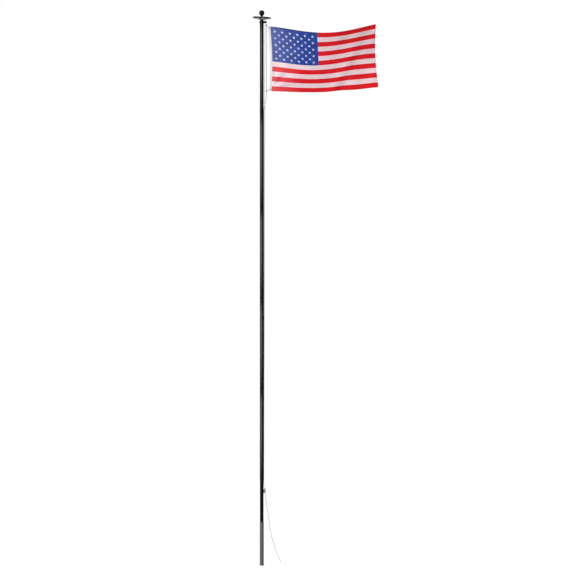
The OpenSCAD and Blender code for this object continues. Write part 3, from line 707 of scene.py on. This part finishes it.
CLOTHS = [
    woven("red_cloth", display(210, 27, 35), display(237, 41, 50), 5.0),
    woven("white_cloth", display(230, 204, 210), display(246, 220, 225), 5.0),
    woven("blue_cloth", display(22, 37, 96), display(67, 93, 188), 13.0),
    # Hem cloths: the same cloths painted darker as shade along the fly hem and the corner's top hem.
    woven("red_hem_shade", display(148, 20, 30), display(172, 32, 42), 5.0),
    woven("white_hem_shade", display(212, 190, 196), display(228, 206, 211), 5.0),
    woven("blue_hem_shade", display(18, 24, 68), display(40, 50, 110), 13.0),
]


def lines_through(marks, most):
    """Lines at each mark, and evenly between them no further apart than most."""
    marks = np.unique(np.round(marks, 9))
    spans = [np.linspace(a, b, max(1, math.ceil((b - a) / most)), endpoint=False)
             for a, b in zip(marks[:-1], marks[1:])]
    return np.concatenate([*spans, marks[-1:]])


STEP_EDGE = 0.0006
U_STEP, V_STEP = 0.0062, 0.0125
hem_u, hem_v = HEM_WIDTH / FLAG_REACH, HEM_WIDTH / FLAG_HOIST
edge_u, edge_v = STEP_EDGE / FLAG_REACH, STEP_EDGE / FLAG_HOIST
seam_v = SEAM_LAP / FLAG_HOIST
seams = np.arange(1, STRIPES) / STRIPES
hem_lines = [at + way * edge_v for at in (hem_v, 1 - hem_v) for way in (-1, 1)]
lap_lines = [seams + lap + way * edge_v for lap in (-seam_v, seam_v) for way in (-1, 1)]
v_lines = lines_through(np.concatenate([[0, 1], hem_lines, seams, *lap_lines]), V_STEP)
u_lines = lines_through(np.array([
    HEADER_SHARE, CORNER_SHARE - edge_u, CORNER_SHARE, 1 - hem_u - edge_u, 1 - hem_u + edge_u, 1.0,
]), U_STEP)
cloth = cloth_slab("flag_cloth_sheet", u_lines, v_lines, cloth_half, panel_of, *CLOTHS)
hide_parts("flag_cloth")


# Header. A band of white canvas, doubled over the flag's hoist edge and sewn down, with a hole near each
# end for an eyelet.
CANVAS_PITCH = 0.0016
CANVAS_HALF = 0.0009
CANVAS_U_STEP, CANVAS_V_STEP = 0.0035, 0.009
EYELET_U, EYELET_V = 0.4 * HEADER_SHARE, 0.030 / FLAG_HOIST
HOLE_U, HOLE_V = 0.0063 / FLAG_REACH, 0.0063 / FLAG_HOIST


def white_canvas(shade):
    threads = weave(shade, CANVAS_PITCH)[0]
    soil = shade.noise((1, 1, 1), 24.0, 5.0)
    return {
        "Base Color": shade.mix(soil, display(222, 224, 236), display(242, 243, 248)),
        "Roughness": 0.75 + 0.1 * soil,
        "Specular IOR Level": 0.0,
        "Normal": shade.bump(threads, 0.0003, 0.4),
    }


def header_cell(u, v):
    """0 for canvas, and -1 in the eyelets' holes."""
    near = np.minimum(np.abs(v - EYELET_V), np.abs(v - 1 + EYELET_V))
    return np.where((np.abs(u - EYELET_U) < HOLE_U) & (near < HOLE_V), -1, 0)


def header_half(u, v):
    return np.full(u.shape, CANVAS_HALF)


hole_lines = [at + way * HOLE_V for at in (EYELET_V, 1 - EYELET_V) for way in (-1, 1)]
header_u = lines_through(
    np.array([0, EYELET_U - HOLE_U, EYELET_U + HOLE_U, HEADER_SHARE]), CANVAS_U_STEP)
header_v = lines_through(np.array([0, *hole_lines, 1]), CANVAS_V_STEP)
header = cloth_slab("flag_header_band", header_u, header_v, header_half, header_cell,
                    finish("white_canvas", white_canvas))
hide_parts("flag_header")


# Stars. Fifty five-pointed patches of satin thread on the blue corner, six and five to a row by turns,
# embroidered through so that they show on both faces.
STAR_R = 0.0225
STAR_DENT = 0.382
STAR_LIFT, STAR_TUCK = 0.0009, -0.0003
STAR_RINGS = 4
STAR_EDGE_PARTS = 4
TIPS = 10
FIRST_COLUMN, COLUMN_SHARE = 0.006, 0.081
FIRST_ROW, ROW_SHARE = 0.035, 0.097
corner_width = (CORNER_SHARE - HEADER_SHARE) * FLAG_REACH
corner_height = CORNER_STRIPES / STRIPES * FLAG_HOIST
star_spots = [
    (FIRST_COLUMN + COLUMN_SHARE * column, FIRST_ROW + ROW_SHARE * row)
    for row in range(1, 10) for column in range(1, 12) if (row + column) % 2 == 0
]
tip_angles = np.arange(TIPS) * 2 * math.pi / TIPS
tip_r = np.where(np.arange(TIPS) % 2 == 0, STAR_R, STAR_R * STAR_DENT)
tip_points = np.stack([np.sin(tip_angles) * tip_r, -np.cos(tip_angles) * tip_r], axis=-1)
next_points = np.roll(tip_points, -1, axis=0)
along_edge = np.arange(STAR_EDGE_PARTS)[None, :, None] / STAR_EDGE_PARTS
edge_points = (tip_points[:, None] + (next_points - tip_points)[:, None] * along_edge).reshape(-1, 2)
count = len(edge_points)
rings = [edge_points * (ring + 1) / STAR_RINGS for ring in range(STAR_RINGS)]
star_flat = np.concatenate([[[0.0, 0.0]], *rings, edge_points])
star_lift = np.concatenate([np.full(1 + STAR_RINGS * count, STAR_LIFT), np.full(count, STAR_TUCK)])
star_faces = [(0, 1 + k, 1 + (k + 1) % count) for k in range(count)]
for ring in range(STAR_RINGS):
    low, high = 1 + ring * count, 1 + (ring + 1) * count
    for k in range(count):
        side = (k + 1) % count
        star_faces.append((low + k, high + k, high + side, low + side))
star_points, all_star_faces = [], []
for way in (1, -1):
    for across, down in star_spots:
        u = HEADER_SHARE + (across * corner_width + star_flat[:, 0]) / FLAG_REACH
        v = (down * corner_height + star_flat[:, 1]) / FLAG_HOIST
        base = len(star_points) * len(star_flat)
        star_points.append(flag_side(u, v, way * (CLOTH_HALF + star_lift)))
        all_star_faces += [tuple(base + n for n in (f if way < 0 else f[::-1])) for f in star_faces]


def star_thread(shade):
    satin = shade.noise((1, 1, 1), 900.0, 2.0)
    return {
        "Base Color": shade.mix(satin, display(196, 206, 230), display(220, 227, 242)),
        "Roughness": 0.45 + 0.2 * satin,
        "Specular IOR Level": 0.0,
        "Normal": shade.bump(satin, 0.0002, 0.3),
    }


stars = put("flag_stars", np.concatenate(star_points), all_star_faces,
            finish("star_thread", star_thread))


# Stitching. Lines of polyester thread, dyed to match the cloth they lie on, hold the header, the hems and
# the laps of the seams; each stitch stands up a little from both faces.
STITCH = 0.0042
STITCH_GAP = 0.14
STITCH_SINK, STITCH_RISE, STITCH_ROOT = 0.0001, 0.00035, 0.0002
STITCH_SIDE, STITCH_SHOULDER = 0.0003, 0.4


def stitch_rows(rows):
    """Where stitches start and end along rows, and the lift of the cloth under each.

    A row is its two ends in u and v, and that lift.
    """
    starts, ends, lifts = [], [], []
    for (u0, v0), (u1, v1), lift in rows:
        length = math.hypot((u1 - u0) * FLAG_REACH, (v1 - v0) * FLAG_HOIST)
        many = max(1, int(length / STITCH))
        along = (np.arange(many) + STITCH_GAP) / many
        until = (np.arange(many) + 1 - STITCH_GAP) / many
        starts.append(np.stack([u0 + (u1 - u0) * along, v0 + (v1 - v0) * along], axis=-1))
        ends.append(np.stack([u0 + (u1 - u0) * until, v0 + (v1 - v0) * until], axis=-1))
        lifts.append(np.full(many, lift))
    return np.concatenate(starts), np.concatenate(ends), np.concatenate(lifts)


def thread_rows(name, rows, *materials):
    """Stitches along rows on both faces: each a crest and a root, with a shoulder on either side."""
    start, end, lift = stitch_rows(rows)
    middle = (start + end) / 2
    points, faces = [], []
    count = len(start)
    for way in (1, -1):
        first = flag_side(*start.T, way * (lift - STITCH_SINK))
        last = flag_side(*end.T, way * (lift - STITCH_SINK))
        crest = flag_side(*middle.T, way * (lift + STITCH_RISE))
        root = flag_side(*middle.T, way * (lift - STITCH_ROOT))
        ahead = last - first
        ahead /= np.linalg.norm(ahead, axis=1, keepdims=True)
        side = np.cross(ahead, crest - root)
        side *= STITCH_SIDE / np.linalg.norm(side, axis=1, keepdims=True)
        shoulder = root + (crest - root) * STITCH_SHOULDER
        base = len(points) * count
        points += [first, last, crest, root, shoulder + side, shoulder - side]
        a, b, c, d, e, f = (base + k * count + np.arange(count) for k in range(6))
        upper = [(a, e, c), (e, b, c), (b, f, c), (f, a, c)]
        lower = [(e, a, d), (b, e, d), (f, b, d), (a, f, d)]
        faces += [np.stack(corners, axis=-1) for corners in upper + lower]
    piece = put(name, np.concatenate(points), np.concatenate(faces).tolist(), *materials)
    dye = np.where(middle[:, 0] < HEADER_SHARE, 1, panel_of(middle[:, 0], middle[:, 1]) % 3)
    piece.data.polygons.foreach_set("material_index", np.tile(dye, len(faces)).astype(np.int32))
    return piece


STITCH_INSET = 0.0025
ROW_START, ROW_END = 0.004, 0.996
FLY_ROW_INSETS = (0.6, 1.6, 2.6, 3.6)
SEAM_ROW_SHARE = 0.7
inset_u, inset_v = STITCH_INSET / FLAG_REACH, STITCH_INSET / FLAG_HOIST
header_rows = [
    ((u, ROW_START), (u, ROW_END), CANVAS_HALF)
    for u in (inset_u * 2, HEADER_SHARE - inset_u, HEADER_SHARE - 2.4 * inset_u)
]
fly_rows = [
    ((u, ROW_START), (u, ROW_END), HEM_HALF)
    for u in (1 - hem_u + inset * inset_u for inset in FLY_ROW_INSETS)
]
edge_rows = [
    ((HEADER_SHARE + inset_u, v), (1 - inset_u, v), HEM_HALF)
    for v in (hem_v - inset_v, 1 - hem_v + inset_v)
]
seam_rows = []
for seam in seams:
    beside_corner = seam < CORNER_STRIPES / STRIPES - SAME
    seam_start = CORNER_SHARE if beside_corner else HEADER_SHARE + inset_u
    for way in (-1, 1):
        v = seam + way * SEAM_ROW_SHARE * seam_v
        seam_rows.append(((seam_start, v), (1 - hem_u, v), SEAM_HALF))


def thread(dark, light):
    """A twisted thread between two tones."""
    def recipe(shade):
        twist = shade.noise((1, 1, 1), 1800.0, 2.0)
        return {
            "Base Color": shade.mix(twist, dark, light),
            "Roughness": 0.5 + 0.2 * twist,
            "Specular IOR Level": 0.0,
            "Normal": shade.bump(twist, 0.0001, 0.3),
        }
    return recipe


stitching = thread_rows("flag_stitching", header_rows + fly_rows + edge_rows + seam_rows,
                        finish("red_thread", thread(display(176, 16, 26), display(206, 26, 36))),
                        finish("white_thread", thread(display(218, 200, 206), display(238, 222, 227))),
                        finish("blue_thread", thread(display(20, 30, 96), display(36, 50, 124))))


# Studio. A pale floor that fades to white, an even white surround, one broad soft lamp from the front left,
# and beside it a tall soft box that only shows in polished surfaces.
KEY_AZIMUTH, KEY_HEIGHT = math.radians(55), math.radians(15)
KEY_POWER, KEY_SPREAD = 2.3, math.radians(30)
SURROUND = 0.5
WHITE = (1, 1, 1, 1)


def looked_at(shade):
    """1 where the camera, gloss or glass sees a surface, and 0 where it only lights others."""
    seen = shade.node("LightPath", output=0)
    for ray in (3, 6):
        seen = shade.maths("MAXIMUM", seen, shade.node("LightPath", output=ray))
    return seen


world = bpy.data.worlds.new("white_surround")
world.use_nodes = True
world.node_tree.nodes.clear()
sky = Shade(world.node_tree)
shown = sky.node("Background", sockets={"Color": WHITE, "Strength": 1.0})
lighting = sky.node("Background", sockets={"Color": WHITE, "Strength": SURROUND})
surround = sky.node("MixShader", sockets={0: looked_at(sky), 1: lighting, 2: shown})
sky.node("OutputWorld", sockets={"Surface": surround})
bpy.context.scene.world = world

key = bpy.data.lights.new("key_lamp", "SUN")
key.energy = KEY_POWER
key.angle = KEY_SPREAD
key_lamp = bpy.data.objects.new("key_lamp", key)
key_lamp.rotation_euler = (math.radians(90) - KEY_HEIGHT, 0, -KEY_AZIMUTH)
bpy.context.scene.collection.objects.link(key_lamp)

BOX_AZIMUTH, BOX_DISTANCE, BOX_WIDTH, BOX_HEIGHT = math.radians(31), 6.0, 7.0, 9.0
BOX_RADIANCE = 14.0
box = bpy.data.lights.new("soft_box", "AREA")
box.shape = "RECTANGLE"
box.size = BOX_WIDTH
box.size_y = BOX_HEIGHT
box.energy = BOX_RADIANCE * math.pi * BOX_WIDTH * BOX_HEIGHT
soft_box = bpy.data.objects.new("soft_box", box)
soft_box.location = (
    -BOX_DISTANCE * math.sin(BOX_AZIMUTH),
    -BOX_DISTANCE * math.cos(BOX_AZIMUTH),
    BOX_HEIGHT / 2,
)
soft_box.rotation_euler = (math.radians(90), 0, -BOX_AZIMUTH)
soft_box.visible_camera = False
soft_box.visible_diffuse = False
soft_box.visible_transmission = False
bpy.context.scene.collection.objects.link(soft_box)


FLOOR_HALF = 150.0
FLOOR_GLOW = 0.42


def pale_floor(shade):
    grit = shade.noise((1, 1, 1), 40.0, 3.0)
    glow = shade.mix(looked_at(shade), (0, 0, 0, 1), (FLOOR_GLOW, FLOOR_GLOW, FLOOR_GLOW, 1))
    return {
        "Base Color": shade.mix(grit, display(240, 240, 240), display(246, 246, 246)),
        "Roughness": 0.9,
        "Specular IOR Level": 0.0,
        "Emission Color": glow,
        "Emission Strength": 1.0,
    }


floor_corners = [(x * FLOOR_HALF, y * FLOOR_HALF, 0) for x, y in ((-1, -1), (1, -1), (1, 1), (-1, 1))]
floor_mesh = bpy.data.meshes.new("pale_floor")
floor_mesh.from_pydata(floor_corners, [], [(0, 1, 2, 3)])
floor_mesh.materials.append(finish("pale_floor", pale_floor))
floor = bpy.data.objects.new("pale_floor", floor_mesh)
bpy.context.scene.collection.objects.link(floor)
bpy.context.scene.view_settings.view_transform = "Standard"
